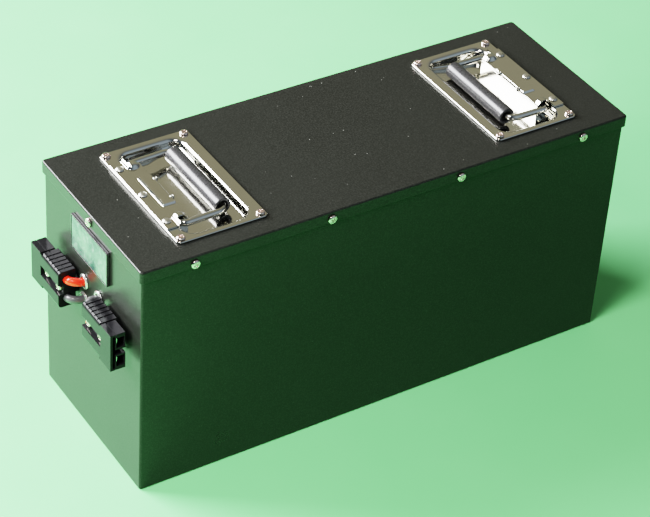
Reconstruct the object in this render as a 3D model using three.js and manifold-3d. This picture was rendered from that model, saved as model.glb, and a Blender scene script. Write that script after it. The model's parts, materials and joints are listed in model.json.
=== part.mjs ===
// Battery box: a folded sheet-steel case with a screwed-on lid, two recessed
// spring-loaded carrying handles, two panel-mounted two-pole power connectors
// with short leads, a small panel meter, and the cell pack with its protection
// board inside.
//
// Units are millimetres and +Z is up. The origin is the centre of the
// underside. +X runs along the length, away from the connector end, and the
// long sides face -Y and +Y.

import * as THREE from 'three';
import { mergeVertices } from 'three/addons/utils/BufferGeometryUtils.js';
import Module from 'manifold-3d';

const wasm = await Module();
wasm.setup();

// ---------------------------------------------------------------- dimensions
const GAP = 0.3;               // running gap between pieces that touch

const LID_L = 470;             // lid, along X
const LID_W = 170;             // lid, along Y
const TOTAL_H = 228;           // underside to the lid's top face
const SKIRT_H = 11;            // depth of the lid's turned-down edge
const SHEET = 1.2;             // steel sheet of case and lid
const BODY_L = 466;            // case, along X
const BODY_W = 166;            // case, along Y
const FLANGE = 12;             // turned-in rim at the top of the case

const LID_SCREW_X = [-187.5, -62.5, 62.5, 187.5];
const LID_SCREW_Z = 221;

// recessed handles; a is measured towards the grip, b along Y
const HANDLE_X = [-151.5, 153];
const PLATE_A = 82, PLATE_B = 134, PLATE_R = 4;
const PLATE_Z0 = TOTAL_H + GAP, PLATE_Z1 = 230;
const RECESS_A0 = -28, RECESS_A1 = 30, RECESS_B = 59.5, RECESS_R = 12;
const DISH_FLOOR = 219.3;      // top of the dish floor on the pivot side
const RAMP_A = -1.5, RAMP = 0.132; // from there it rises under the grip
const DISH_T = 1.5;            // dish sheet
const LEDGE_A = -17.5, LEDGE_B = 41.3;   // shelf that carries the pivots
const PIVOT_A = -24.5, PIVOT_Z = 229;
const GRIP_A = 13.6, GRIP_Z = 230;
const ROD_R = 3, LEG_B = 45.3, PIN_B = 34.6;
const GRIP_R = 7.4, GRIP_HALF = 40.7, GRIP_BORE = 3.35;
const COVER_Z0 = PLATE_Z1 + GAP, COVER_T = 1.3;
const HOOD_R = 6.3, HOOD_BORE = 5.1, NECK_R = 3.25;
const HOOD_B0 = 33, HOOD_B1 = 41.3;
const LUG_A = -17.2, LUG_B = 13.7, LUG_R = 2;
const RIVET_A = -36, RIVET_B = [-39, 0, 39];
const PLATE_SCREW_A = 36, PLATE_SCREW_B = 62;

// two-pole connectors on the -X end panel; l is measured from the mating end
const PANEL_X = -BODY_L / 2;
const CONN_Z = 143.7;
const CONN_FRONT_Y = [69.5, -69.5];
const CONN_STAND = 4;           // spacer between panel and housing
const CONN_L = 49, CONN_T = 16, CONN_H = 36, CONN_FRONT_L = 17;
const POLE_W = 9.3, POLE_U = 8;
const CONN_SCREW_L = [23, 43];

// leads and their grommets
const LEAD_R = 3.5;
const GROMMET_Y = 12.5, GROMMET_Z = [152.5, 134.5], GROMMET_R = 6.8;

// panel meter
const METER_Y = 0, METER_Z = 193.75, METER_W = 62, METER_H = 33.5, METER_T = 2.8;

// ------------------------------------------------------------------- helpers
function solid(geometry) {
  const g = geometry.index ? geometry.toNonIndexed() : geometry.clone();
  g.deleteAttribute('normal');
  g.deleteAttribute('uv');
  const merged = mergeVertices(g, 1e-4);
  const idx = merged.index.array;
  const keep = [];
  for (let i = 0; i < idx.length; i += 3) {
    const [p, q, r] = [idx[i], idx[i + 1], idx[i + 2]];
    if (p !== q && q !== r && r !== p) keep.push(p, q, r);
  }
  return new wasm.Manifold(new wasm.Mesh({
    numProp: 3,
    vertProperties: new Float32Array(merged.attributes.position.array),
    triVerts: new Uint32Array(keep),
  }));
}

function surface(manifold) {
  const m = manifold.getMesh();
  const g = new THREE.BufferGeometry();
  g.setAttribute('position', new THREE.BufferAttribute(new Float32Array(m.vertProperties), 3));
  g.setIndex(new THREE.BufferAttribute(new Uint32Array(m.triVerts), 1));
  g.computeVertexNormals();
  return g;
}

const add = (...parts) => parts.reduce((s, p) => s.add(p));
const cut = (body, ...tools) => tools.reduce((s, t) => s.subtract(t), body);

function block(x0, x1, y0, y1, z0, z1) {
  const g = new THREE.BoxGeometry(x1 - x0, y1 - y0, z1 - z0);
  g.translate((x0 + x1) / 2, (y0 + y1) / 2, (z0 + z1) / 2);
  return solid(g);
}

// a cylinder along 'x', 'y' or 'z' from c0 to c1, centred on the other two
// coordinates given in axis order
function rod(axis, r, c0, c1, p, q, n = 16) {
  const g = new THREE.CylinderGeometry(r, r, c1 - c0, n);
  const mid = (c0 + c1) / 2;
  if (axis === 'x') { g.rotateZ(-Math.PI / 2); g.translate(mid, p, q); }
  if (axis === 'y') { g.translate(p, mid, q); }
  if (axis === 'z') { g.rotateX(Math.PI / 2); g.translate(p, q, mid); }
  return solid(g);
}

function roundedRect(x0, x1, y0, y1, r) {
  const s = new THREE.Shape();
  s.moveTo(x0 + r, y0);
  s.lineTo(x1 - r, y0);
  s.absarc(x1 - r, y0 + r, r, -Math.PI / 2, 0, false);
  s.lineTo(x1, y1 - r);
  s.absarc(x1 - r, y1 - r, r, 0, Math.PI / 2, false);
  s.lineTo(x0 + r, y1);
  s.absarc(x0 + r, y1 - r, r, Math.PI / 2, Math.PI, false);
  s.lineTo(x0, y0 + r);
  s.absarc(x0 + r, y0 + r, r, Math.PI, 1.5 * Math.PI, false);
  return s;
}

// a rounded rectangle in the XY plane, raised from z0 to z1
function prism(x0, x1, y0, y1, z0, z1, r, n = 4) {
  const g = new THREE.ExtrudeGeometry(roundedRect(x0, x1, y0, y1, r),
    { depth: z1 - z0, bevelEnabled: false, curveSegments: n });
  g.translate(0, 0, z0);
  return solid(g);
}

// a rounded rectangle from z0 to z1 with its horizontal edges rolled to radius e
function pan(x0, x1, y0, y1, z0, z1, r, e, n = 3) {
  const g = new THREE.ExtrudeGeometry(roundedRect(x0, x1, y0, y1, r), {
    depth: z1 - z0 - 2 * e, bevelEnabled: true, bevelThickness: e, bevelSize: e,
    bevelOffset: -e, bevelSegments: 2, curveSegments: n,
  });
  g.translate(0, 0, z0 + e);
  return solid(g);
}

// a closed outline in the XZ plane, extruded along Y from y0 to y1
function profileY(points, y0, y1) {
  const s = new THREE.Shape(points.map(([x, z]) => new THREE.Vector2(x, z)));
  const g = new THREE.ExtrudeGeometry(s, { depth: y1 - y0, bevelEnabled: false });
  g.rotateX(Math.PI / 2);            // outline's y becomes z, depth runs along -y
  g.translate(0, y1, 0);
  return solid(g);
}

// a turned part: outline points are [radius, height], closed on themselves or
// on the axis, revolved about +Z
function turned(points, n = 14) {
  const g = new THREE.LatheGeometry(points.map(([r, h]) => new THREE.Vector2(r, h)), n);
  g.rotateX(Math.PI / 2);
  return solid(g);
}

// pan-head screw standing on z = 0, its shank running down -Z
function screw(headR, headH, shankR, length, n = 10) {
  return turned([
    [0, -length], [shankR, -length + shankR], [shankR, 0], [headR, 0],
    [headR, headH * 0.5], [headR * 0.65, headH], [0, headH],
  ], n);
}

const root = new THREE.Group();
root.name = 'battery_box';

function put(parent, name, shape, material, place) {
  const mesh = new THREE.Mesh(shape.isBufferGeometry ? shape : surface(shape), material.clone());
  mesh.name = name;
  if (place) place(mesh);
  parent.add(mesh);
  return mesh;
}

// ----------------------------------------------------------------- materials
const std = (color, roughness, metalness) => new THREE.MeshStandardMaterial({ color, roughness, metalness });
const powderCoat = std(0x1b1b19, 0.42, 0.0);
const plated = std(0xc9c9c4, 0.16, 1.0);
const zinc = std(0xd6d2c6, 0.3, 1.0);
const gripVinyl = std(0x2c2b2d, 0.45, 0.0);
const housingBlack = std(0x0c0c0d, 0.18, 0.0);
const silver = std(0xd9d9d6, 0.25, 1.0);
const redPvc = std(0xe2231a, 0.22, 0.0);
const blackPvc = std(0x232324, 0.3, 0.0);
const grommetGrey = std(0xa7aaa6, 0.35, 0.0);
const lcd = std(0x9fb8a6, 0.12, 0.0);
const wrapBlue = std(0x1f4d9a, 0.4, 0.0);
const boardBlue = std(0x20262b, 0.5, 0.0);

// ---------------------------------------------------------------------- case
{
  const top = TOTAL_H - SHEET - GAP;
  let body = prism(-BODY_L / 2, BODY_L / 2, -BODY_W / 2, BODY_W / 2, 0, top, 2, 3);
  const ix = BODY_L / 2 - SHEET, iy = BODY_W / 2 - SHEET;
  body = cut(body,
    prism(-ix, ix, -iy, iy, SHEET, top - SHEET, 1, 2),
    block(-ix + FLANGE, ix - FLANGE, -iy + FLANGE, iy - FLANGE, top - 3, top + 3));
  const r = 2.3;
  for (const x of LID_SCREW_X) {
    body = cut(body, rod('y', r, -BODY_W / 2 - 1, -iy + 1, x, LID_SCREW_Z, 8),
      rod('y', r, iy - 1, BODY_W / 2 + 1, x, LID_SCREW_Z, 8));
  }
  body = cut(body, rod('x', r, -BODY_L / 2 - 1, -ix + 1, 0, LID_SCREW_Z, 8),
    rod('x', r, ix - 1, BODY_L / 2 + 1, 0, LID_SCREW_Z, 8));
  // openings in the connector end
  for (const y of [GROMMET_Y, -GROMMET_Y]) {
    for (const z of GROMMET_Z) body = cut(body, rod('x', 5.4, PANEL_X - 1, PANEL_X + 3, y, z, 12));
  }
  for (const [i, f] of CONN_FRONT_Y.entries()) {
    for (const l of CONN_SCREW_L) {
      const y = i ? f + l : f - l;
      body = cut(body, rod('x', 2.3, PANEL_X - 1, PANEL_X + 3, y, CONN_Z, 8));
    }
  }
  body = cut(body, block(PANEL_X - 1, PANEL_X + 3, METER_Y - 28, METER_Y + 28, METER_Z - 14, METER_Z + 14));
  put(root, 'case_body', body, powderCoat);
}

// ----------------------------------------------------------------------- lid
{
  const z0 = TOTAL_H - SKIRT_H, z1 = TOTAL_H;
  // outer form with a small bend radius along the top edges
  const e = 1.6;
  const g = new THREE.ExtrudeGeometry(roundedRect(-LID_L / 2, LID_L / 2, -LID_W / 2, LID_W / 2, 3), {
    depth: 20, bevelEnabled: true, bevelThickness: e, bevelSize: e, bevelOffset: -e,
    bevelSegments: 2, curveSegments: 2,
  });
  g.translate(0, 0, z1 - 20 - e);
  let lid = solid(g);
  lid = cut(lid, block(-400, 400, -200, 200, z1 - 30, z0));
  const ix = LID_L / 2 - SHEET, iy = LID_W / 2 - SHEET;
  lid = cut(lid, prism(-ix, ix, -iy, iy, z0 - 5, z1 - SHEET, 2, 3));
  const r = 2.3;
  for (const x of LID_SCREW_X) {
    lid = cut(lid, rod('y', r, -LID_W / 2 - 1, -iy + 1, x, LID_SCREW_Z, 8),
      rod('y', r, iy - 1, LID_W / 2 + 1, x, LID_SCREW_Z, 8));
  }
  lid = cut(lid, rod('x', r, -LID_L / 2 - 1, -ix + 1, 0, LID_SCREW_Z, 8),
    rod('x', r, ix - 1, LID_L / 2 + 1, 0, LID_SCREW_Z, 8));
  for (const [i, hx] of HANDLE_X.entries()) {
    const s = i ? -1 : 1;
    const a = [hx + s * (RECESS_A0 - DISH_T - 0.6), hx + s * (RECESS_A1 + DISH_T + 0.6)].sort((p, q) => p - q);
    lid = cut(lid, prism(a[0], a[1], -RECESS_B - DISH_T - 0.6, RECESS_B + DISH_T + 0.6, z1 - 4, z1 + 4, 8, 2));
    for (const sa of [-1, 1]) {
      for (const sb of [-1, 1]) {
        lid = cut(lid, rod('z', 2.3, z1 - 4, z1 + 4, hx + sa * PLATE_SCREW_A, sb * PLATE_SCREW_B, 8));
      }
    }
  }
  put(root, 'lid', lid, powderCoat);
}

// ---------------------------------------------------------------- lid screws
{
  const s = screw(4, 2.4, 1.95, 9);
  const half = LID_W / 2 + GAP;
  LID_SCREW_X.forEach((x, i) => {
    put(root, `lid_screw_front_${i + 1}`, s, zinc, (m) => {
      m.position.set(x, -half, LID_SCREW_Z); m.rotation.set(Math.PI / 2, 0, 0);
    });
    put(root, `lid_screw_rear_${i + 1}`, s, zinc, (m) => {
      m.position.set(x, half, LID_SCREW_Z); m.rotation.set(-Math.PI / 2, 0, 0);
    });
  });
  put(root, 'lid_screw_left_end', s, zinc, (m) => {
    m.position.set(-LID_L / 2 - GAP, 0, LID_SCREW_Z); m.rotation.set(0, -Math.PI / 2, 0);
  });
  put(root, 'lid_screw_right_end', s, zinc, (m) => {
    m.position.set(LID_L / 2 + GAP, 0, LID_SCREW_Z); m.rotation.set(0, Math.PI / 2, 0);
  });
}

// ------------------------------------------------------------------- handles
// The dish: a flange plate that lies on the lid, a pressed recess whose floor
// rises gently towards the grip side, and along its pivot side a shelf with a
// half-round trough for the bail's pins and the return spring.
function bowl(drop, top, reach) {
  const f = DISH_FLOOR - drop, e = f + RAMP * (reach - RAMP_A);
  return profileY([[-60, f], [RAMP_A - 2.5, f], [RAMP_A, f + 0.08], [RAMP_A + 2.5, f + RAMP * 2.5],
    [reach, e], [60, e], [60, top], [-60, top]], -80, 80);
}

function dishShape() {
  const T = DISH_T;
  let body = prism(-PLATE_A / 2, PLATE_A / 2, -PLATE_B / 2, PLATE_B / 2, PLATE_Z0, PLATE_Z1, PLATE_R, 2);
  let outer = add(
    pan(RECESS_A0 - T, RECESS_A1 + T, -RECESS_B - T, RECESS_B + T, DISH_FLOOR - T, PLATE_Z0 + 0.5, 8 + T, 4.4, 3),
    prism(RECESS_A0 - T, RECESS_A1 + T, -RECESS_B - T, RECESS_B + T, DISH_FLOOR + 3, PLATE_Z0 + 0.5, 8 + T, 3));
  outer = outer.intersect(bowl(T, PLATE_Z0 + 0.5, 24));
  body = add(body, outer);
  let hollow = add(
    pan(RECESS_A0, RECESS_A1, -RECESS_B, RECESS_B, DISH_FLOOR, PLATE_Z1 + 6, 8, 4, 3),
    prism(RECESS_A0, RECESS_A1, -RECESS_B, RECESS_B, DISH_FLOOR + 4, PLATE_Z1 + 5, 8, 3));
  hollow = hollow.intersect(bowl(0, PLATE_Z1 + 10, 24));
  hollow = cut(hollow, block(RECESS_A0 - 5, LEDGE_A, -LEDGE_B, LEDGE_B, DISH_FLOOR - 5, PLATE_Z1 + 10));
  body = cut(body, hollow);
  // hollow under the shelf
  body = cut(body, block(RECESS_A0 + 0.2, LEDGE_A - DISH_T, -LEDGE_B + DISH_T, LEDGE_B - DISH_T,
    DISH_FLOOR - 10, PIVOT_Z - HOOD_BORE - DISH_T));
  // trough for spring and pins, necked down where the pins bear
  body = cut(body,
    rod('y', HOOD_BORE, -36.8, 36.8, PIVOT_A, PIVOT_Z, 16),
    rod('y', NECK_R, -39.5, 39.5, PIVOT_A, PIVOT_Z, 16),
    rod('y', HOOD_BORE, 38.8, LEDGE_B + 1, PIVOT_A, PIVOT_Z, 16),
    rod('y', HOOD_BORE, -LEDGE_B - 1, -38.8, PIVOT_A, PIVOT_Z, 16));
  for (const b of RIVET_B) body = cut(body, rod('z', 2.3, PLATE_Z0 - 1, PLATE_Z1 + 1, RIVET_A, b, 8));
  for (const sa of [-1, 1]) {
    for (const sb of [-1, 1]) {
      body = cut(body, rod('z', 2.3, PLATE_Z0 - 1, PLATE_Z1 + 1, sa * PLATE_SCREW_A, sb * PLATE_SCREW_B, 8));
    }
  }
  return body;
}

// The cover: one pressing with a riveted strip, two half-round hoods over the
// pivots, and between them a raised panel that ends over the recess with two
// small rolled lugs on its edge.
function coverShape() {
  const t = COVER_T, z0 = COVER_Z0, z1 = COVER_Z0 + COVER_T;
  let body = add(
    block(-PLATE_A / 2 + 0.5, RECESS_A0 - 0.3, -48.5, 48.5, z0, z1),
    block(RECESS_A0 - 1, LEDGE_A, -HOOD_B1, HOOD_B1, z0, z1));
  for (const s of [-1, 1]) {
    const b = s > 0 ? [HOOD_B0, HOOD_B1] : [-HOOD_B1, -HOOD_B0];
    body = add(body, rod('y', HOOD_R, b[0], b[1], PIVOT_A, PIVOT_Z, 20));
  }
  // everything below the strip's underside is trimmed away
  body = cut(body, block(-60, 60, -70, 70, PIVOT_Z - 20, z0));
  // raised panel, relieved underneath for the return spring
  body = add(body, profileY([[-29.4, z0], [-29.4, z1], [-28.3, z0 + 2.9], [-18.4, z0 + 2.9], [-17.5, z0 + 2], [-17.5, z0]], -21.5, 21.5));
  body = cut(body, rod('y', 3.1, -20.3, 20.3, PIVOT_A, PIVOT_Z, 16));
  for (const b of [-LUG_B, LUG_B]) {
    body = add(body, rod('z', LUG_R, z0, z0 + 3.4, LUG_A, b, 12));
    body = cut(body, rod('z', 0.8, z0 + 1.6, z0 + 5, LUG_A, b, 8));
  }
  // bores under the hoods, necked down where the pins bear
  for (const s of [-1, 1]) {
    const seg = (p, q) => (s > 0 ? [p, q] : [-q, -p]);
    for (const [p, q, r] of [[HOOD_B0 - 0.01 + 1.2, 36.8, HOOD_BORE], [36, 39.5, NECK_R], [38.8, HOOD_B1 + 1, HOOD_BORE]]) {
      const [u, v] = seg(p, q);
      body = cut(body, rod('y', r, u, v, PIVOT_A, PIVOT_Z, 16));
    }
  }
  for (const b of RIVET_B) body = cut(body, rod('z', 2.3, z0 - 1, z1 + 1, RIVET_A, b, 8));
  return body;
}

function bailPath() {
  // centre line in the plane through the pivot axis and the grip axis
  const reach = Math.hypot(GRIP_A - PIVOT_A, GRIP_Z - PIVOT_Z);
  const pts = [];
  const v = (a, b) => new THREE.Vector3(a, b, 0);
  const r1 = 4.6, r2 = 4.9;
  const arc = (ca, cb, r, t0, t1, n) => {
    for (let i = 0; i <= n; i++) {
      const t = (t0 + (t1 - t0) * i / n) * Math.PI / 180;
      pts.push(v(ca + r * Math.cos(t), cb + r * Math.sin(t)));
    }
  };
  pts.push(v(0, -PIN_B));
  pts.push(v(0, -37.5));
  arc(r1, -(LEG_B - r1), r1, 180, 270, 3);
  arc(reach - r2, -(LEG_B - r2), r2, 270, 360, 4);
  pts.push(v(reach, 0));
  arc(reach - r2, LEG_B - r2, r2, 0, 90, 4);
  arc(r1, LEG_B - r1, r1, 90, 180, 3);
  pts.push(v(0, 37.5));
  pts.push(v(0, PIN_B));
  return pts;
}

// A round rod swept through a list of points, mitred at each one.
function sweep(pts, r, sides) {
  const n = pts.length;
  const pos = [];
  let normal = null, prevDir = null;
  for (let i = 0; i < n; i++) {
    const d0 = i ? pts[i].clone().sub(pts[i - 1]).normalize() : null;
    const d1 = i + 1 < n ? pts[i + 1].clone().sub(pts[i]).normalize() : null;
    const dir = d0 && d1 ? d0.clone().add(d1).normalize() : (d0 || d1);
    if (!normal) {
      const up = Math.abs(dir.z) < 0.9 ? new THREE.Vector3(0, 0, 1) : new THREE.Vector3(1, 0, 0);
      normal = up.clone().sub(dir.clone().multiplyScalar(up.dot(dir))).normalize();
    } else {
      const q = new THREE.Quaternion().setFromUnitVectors(prevDir, dir);
      normal.applyQuaternion(q).normalize();
    }
    prevDir = dir.clone();
    const side = dir.clone().cross(normal).normalize();
    // stretch the section across the mitre
    const c = d0 && d1 ? Math.sqrt(Math.max(0.25, (1 + d0.dot(d1)) / 2)) : 1;
    const bend = d0 && d1 ? d1.clone().sub(d0) : new THREE.Vector3();
    const bl = bend.length();
    if (bl > 1e-6) bend.divideScalar(bl);
    for (let k = 0; k < sides; k++) {
      const t = (k + 0.5) / sides * 2 * Math.PI;
      const o = normal.clone().multiplyScalar(r * Math.cos(t)).add(side.clone().multiplyScalar(r * Math.sin(t)));
      if (bl > 1e-6) o.add(bend.clone().multiplyScalar(o.dot(bend) * (1 / c - 1)));
      pos.push(pts[i].x + o.x, pts[i].y + o.y, pts[i].z + o.z);
    }
  }
  const idx = [];
  for (let i = 0; i + 1 < n; i++) {
    for (let k = 0; k < sides; k++) {
      const a = i * sides + k, b = i * sides + (k + 1) % sides;
      idx.push(a, b, b + sides, a, b + sides, a + sides);
    }
  }
  for (let k = 1; k + 1 < sides; k++) {
    idx.push(0, k + 1, k);
    const e = (n - 1) * sides;
    idx.push(e, e + k, e + k + 1);
  }
  const g = new THREE.BufferGeometry();
  g.setAttribute('position', new THREE.BufferAttribute(new Float32Array(pos), 3));
  g.setIndex(idx);
  return solid(g);
}

// return spring: one close coil on the pivot line, under the raised panel
function springShape() {
  const r = 2.1, w = 0.5, per = 8, turns = 9, half = 19.4;
  const pts = [];
  const n = per * turns;
  for (let i = 0; i <= n; i++) {
    const t = i / per * 2 * Math.PI;
    pts.push(new THREE.Vector3(PIVOT_A + r * Math.cos(t), -half + 2 * half * i / n, PIVOT_Z + r * Math.sin(t)));
  }
  return sweep(pts, w, 5);
}

const dish = dishShape();
const cover = coverShape();
const bail = sweep(bailPath(), ROD_R, 10);
const spring = springShape();
const tilt = Math.atan2(GRIP_Z - PIVOT_Z, GRIP_A - PIVOT_A);
const gripSleeve = cut(rod('y', GRIP_R, -GRIP_HALF, GRIP_HALF, 0, 0, 20), rod('y', GRIP_BORE + 0.05, -50, 50, 0, 0, 12));
const rivet = turned([[0, -3.2], [2, -3.2], [2, 0], [3.8, 0], [3.5, 0.7], [2.2, 1.4], [0, 1.7]], 10);
const plateScrew = screw(3.7, 2.2, 1.95, 14);

for (const [i, side] of ['left', 'right'].entries()) {
  const g = new THREE.Group();
  g.position.set(HANDLE_X[i], 0, 0);
  if (i) g.rotation.set(0, 0, Math.PI);
  root.add(g);
  put(g, `${side}_handle_dish`, dish, plated);
  put(g, `${side}_handle_cover`, cover, plated);
  put(g, `${side}_handle_bail`, bail, plated, (m) => {
    m.position.set(PIVOT_A, 0, PIVOT_Z); m.rotation.set(0, -tilt, 0);
  });
  put(g, `${side}_handle_grip`, gripSleeve, gripVinyl, (m) => { m.position.set(GRIP_A, 0, GRIP_Z); });
  put(g, `${side}_handle_spring`, spring, zinc);
  RIVET_B.forEach((b, k) => put(g, `${side}_handle_rivet_${k + 1}`, rivet, plated,
    (m) => { m.position.set(RIVET_A, b, COVER_Z0 + COVER_T + GAP); }));
  let k = 0;
  for (const sa of [-1, 1]) {
    for (const sb of [-1, 1]) {
      k += 1;
      put(g, `${side}_handle_screw_${k}`, plateScrew, zinc,
        (m) => { m.position.set(sa * PLATE_SCREW_A, sb * PLATE_SCREW_B, PLATE_Z1 + GAP); });
    }
  }
}

// ---------------------------------------------------------------- connectors
// Local frame: x = distance out from the panel, y = distance from the mating
// end, z = height from the connector's middle.
function housingShape() {
  const H = CONN_H / 2, T = CONN_T, F = CONN_FRONT_L, L = CONN_L;
  // rear part, its two outer long edges rolled
  const s = new THREE.Shape();
  const r = 3.6;
  s.moveTo(0, -H);
  s.lineTo(T - r, -H);
  s.absarc(T - r, -H + r, r, -Math.PI / 2, 0, false);
  s.lineTo(T, H - r);
  s.absarc(T - r, H - r, r, 0, Math.PI / 2, false);
  s.lineTo(0, H);
  s.closePath();
  const g = new THREE.ExtrudeGeometry(s, { depth: L - F - 1, bevelEnabled: false, curveSegments: 5 });
  g.rotateX(Math.PI / 2);            // outline's y becomes z, depth runs along -y
  g.translate(0, L, 0);
  let body = solid(g);
  // front part, square-edged
  body = add(body, block(2.5, T, 0, F + 2, -H, H));
  // grip grooves on the two narrow faces
  for (let k = 0; k < 5; k++) {
    const y = 24 + 5 * k;
    body = cut(body, block(-1, T + 1, y, y + 1.3, H - 0.9, H + 1), block(-1, T + 1, y, y + 1.3, -H - 1, -H + 0.9));
  }
  // step behind the front part
  body = cut(body, block(-1, T + 1, F, F + 1.6, H - 1.4, H + 1), block(-1, T + 1, F, F + 1.6, -H - 1, -H + 1.4));
  // screw channel on the outer face
  body = cut(body, block(T - 4.5, T + 1, F, L + 1, -5, 5));
  // pole chambers: square at the mating end, round behind
  for (const w of [-POLE_W, POLE_W]) {
    body = cut(body, block(3.5, 10.6, -1, F + 3, w - 5, w + 5), rod('y', 4.2, F + 1, L + 1, POLE_U, w, 12));
  }
  // slot between the outer plate and the pole boxes, and the gap between them
  body = cut(body, block(11.6, 13.8, -1, F - 1.5, -H + 1.8, H - 1.8), block(1, 13.8, -1, F - 1.5, -2.6, 2.6));
  // fixing holes
  for (const l of CONN_SCREW_L) body = cut(body, rod('x', 2.3, -1, T + 1, l, 0, 8));
  return body;
}

// crimp barrel and, offset to one side of it, the flat blade that the mating
// contact slides over
function contactShape() {
  return add(rod('y', 3.5, 21, 33, 0, 0, 12), block(0.7, 2.2, 3, 22, -3.4, 3.4));
}

const housing = housingShape();
const contact = contactShape();
const connScrew = screw(3.9, 2.3, 1.95, 22);
const spacer = cut(block(0, CONN_STAND - 2 * GAP, CONN_SCREW_L[0] - 7, CONN_SCREW_L[1] + 5, -7, 7),
  ...CONN_SCREW_L.map((l) => rod('x', 2.3, -1, CONN_STAND + 1, l, 0, 8)));

// one lead: out of the connector, round into the panel, and straight back to
// the protection board
const BOARD_X = -206;
function leadPoints(frontY, sign, w, gz) {
  const rearY = frontY - sign * CONN_L;
  const gy = sign * GROMMET_Y;
  const z = CONN_Z + w;
  const V = (x, y, zz) => new THREE.Vector3(x, y, zz);
  const x0 = PANEL_X - CONN_STAND - POLE_U;
  const c = new THREE.CubicBezierCurve3(
    V(x0, rearY - sign * 0.3, z), V(x0, rearY - sign * 6.5, z + 2.2),
    V(PANEL_X - 8.5, gy + sign * 0.2, gz + 1.2), V(PANEL_X - 2.6, gy, gz));
  return [V(x0, rearY + sign * 15, z), ...c.getPoints(10), V(BOARD_X - GAP, gy, gz)];
}

for (const [i, side] of ['left', 'right'].entries()) {
  const sign = i ? -1 : 1;
  // local x out from the panel is world -X; local y from the mating end runs
  // towards the middle of the panel; the right one is the left one turned
  // half a turn about X
  const g = new THREE.Group();
  g.position.set(PANEL_X - CONN_STAND, CONN_FRONT_Y[i], CONN_Z);
  if (i) g.rotation.set(0, Math.PI, 0); else g.rotation.set(0, 0, Math.PI);
  root.add(g);
  put(g, `${side}_connector_housing`, housing, housingBlack);
  put(g, `${side}_connector_spacer`, spacer, housingBlack, (m) => m.position.set(-CONN_STAND + GAP, 0, 0));
  put(g, `${side}_connector_red_contact`, contact, silver, (m) => m.position.set(POLE_U, 0, POLE_W));
  put(g, `${side}_connector_black_contact`, contact, silver, (m) => m.position.set(POLE_U, 0, -POLE_W));
  CONN_SCREW_L.forEach((l, k) => put(g, `${side}_connector_screw_${k + 1}`, connScrew, silver, (m) => {
    m.position.set(CONN_T - 4.5 + GAP, l, 0); m.rotation.set(0, Math.PI / 2, 0);
  }));
  // local +z is the red pole; on the right connector it points down
  put(root, `${side}_red_lead`, sweep(leadPoints(CONN_FRONT_Y[i], sign, sign * POLE_W, GROMMET_Z[i]), LEAD_R, 8), redPvc);
  put(root, `${side}_black_lead`, sweep(leadPoints(CONN_FRONT_Y[i], sign, -sign * POLE_W, GROMMET_Z[1 - i]), LEAD_R, 8), blackPvc);
}

// ------------------------------------------------------------------ grommets
{
  // profile radii and heights; height 0 is the panel's outer face
  const R = GROMMET_R, n = 4.9, b = 4.05, t = SHEET + GAP;
  const ring = turned([
    [b, 2.0], [b, -t - 1.5], [R - 0.6, -t - 1.5], [R - 0.6, -t], [n, -t], [n, GAP], [R, GAP], [R, 1.1],
    [R - 1.1, 2.0], [b, 2.0]], 14);
  const names = [['left_red_grommet', 1, 0], ['left_black_grommet', 1, 1],
    ['right_red_grommet', -1, 1], ['right_black_grommet', -1, 0]];
  for (const [name, s, k] of names) {
    put(root, name, ring, grommetGrey, (m) => {
      m.position.set(PANEL_X, s * GROMMET_Y, GROMMET_Z[k]); m.rotation.set(0, -Math.PI / 2, 0);
    });
  }
}

// --------------------------------------------------------------- panel meter
{
  const x1 = PANEL_X - GAP, x0 = x1 - METER_T;
  const y0 = METER_Y - METER_W / 2, y1 = METER_Y + METER_W / 2;
  const z0 = METER_Z - METER_H / 2, z1 = METER_Z + METER_H / 2;
  let bezel = add(block(x0, x1, y0, y1, z0, z1),
    block(x1 - 0.5, PANEL_X + 11, METER_Y - 27.7, METER_Y + 27.7, METER_Z - 13.7, METER_Z + 13.7));
  bezel = cut(bezel, block(x0 - 1, x0 + 1.9, y0 + 1.4, y1 - 1.4, z0 + 1.4, z1 - 1.4));
  put(root, 'meter_bezel', bezel, housingBlack);
  put(root, 'meter_window',
    block(x0 + 0.3, x0 + 1.6, y0 + 1.7, y1 - 1.7, z0 + 1.7, z1 - 1.7), lcd);
}

// -------------------------------------------------------------------- inside
put(root, 'cell_pack', prism(-192, 226, -75, 75, SHEET + GAP, 203, 6, 3), wrapBlue);
{
  let board = block(BOARD_X, -192 - GAP, -46, 46, 100, 188);
  put(root, 'bms_board', board, boardBlue);
}

export default root;
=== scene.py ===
import bpy
import bmesh
import json
import math
from mathutils import Matrix, Vector

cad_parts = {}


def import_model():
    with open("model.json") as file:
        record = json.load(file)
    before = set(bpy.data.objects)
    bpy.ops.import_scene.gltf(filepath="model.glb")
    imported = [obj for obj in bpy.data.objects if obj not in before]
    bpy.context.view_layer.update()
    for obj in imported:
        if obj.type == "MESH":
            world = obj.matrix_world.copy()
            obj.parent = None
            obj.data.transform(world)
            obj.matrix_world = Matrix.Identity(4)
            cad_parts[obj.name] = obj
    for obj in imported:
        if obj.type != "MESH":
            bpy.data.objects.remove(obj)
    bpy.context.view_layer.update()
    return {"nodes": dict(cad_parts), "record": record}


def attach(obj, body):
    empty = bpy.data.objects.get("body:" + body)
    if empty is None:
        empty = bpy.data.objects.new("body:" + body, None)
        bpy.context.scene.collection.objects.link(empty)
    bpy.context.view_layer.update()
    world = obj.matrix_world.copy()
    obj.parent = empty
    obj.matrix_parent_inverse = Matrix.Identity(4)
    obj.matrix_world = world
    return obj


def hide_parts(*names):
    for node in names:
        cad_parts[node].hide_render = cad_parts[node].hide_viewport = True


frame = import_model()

scene = bpy.context.scene
MM = 0.001
rad = math.radians
sin, cos, pi = math.sin, math.cos, math.pi

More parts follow.
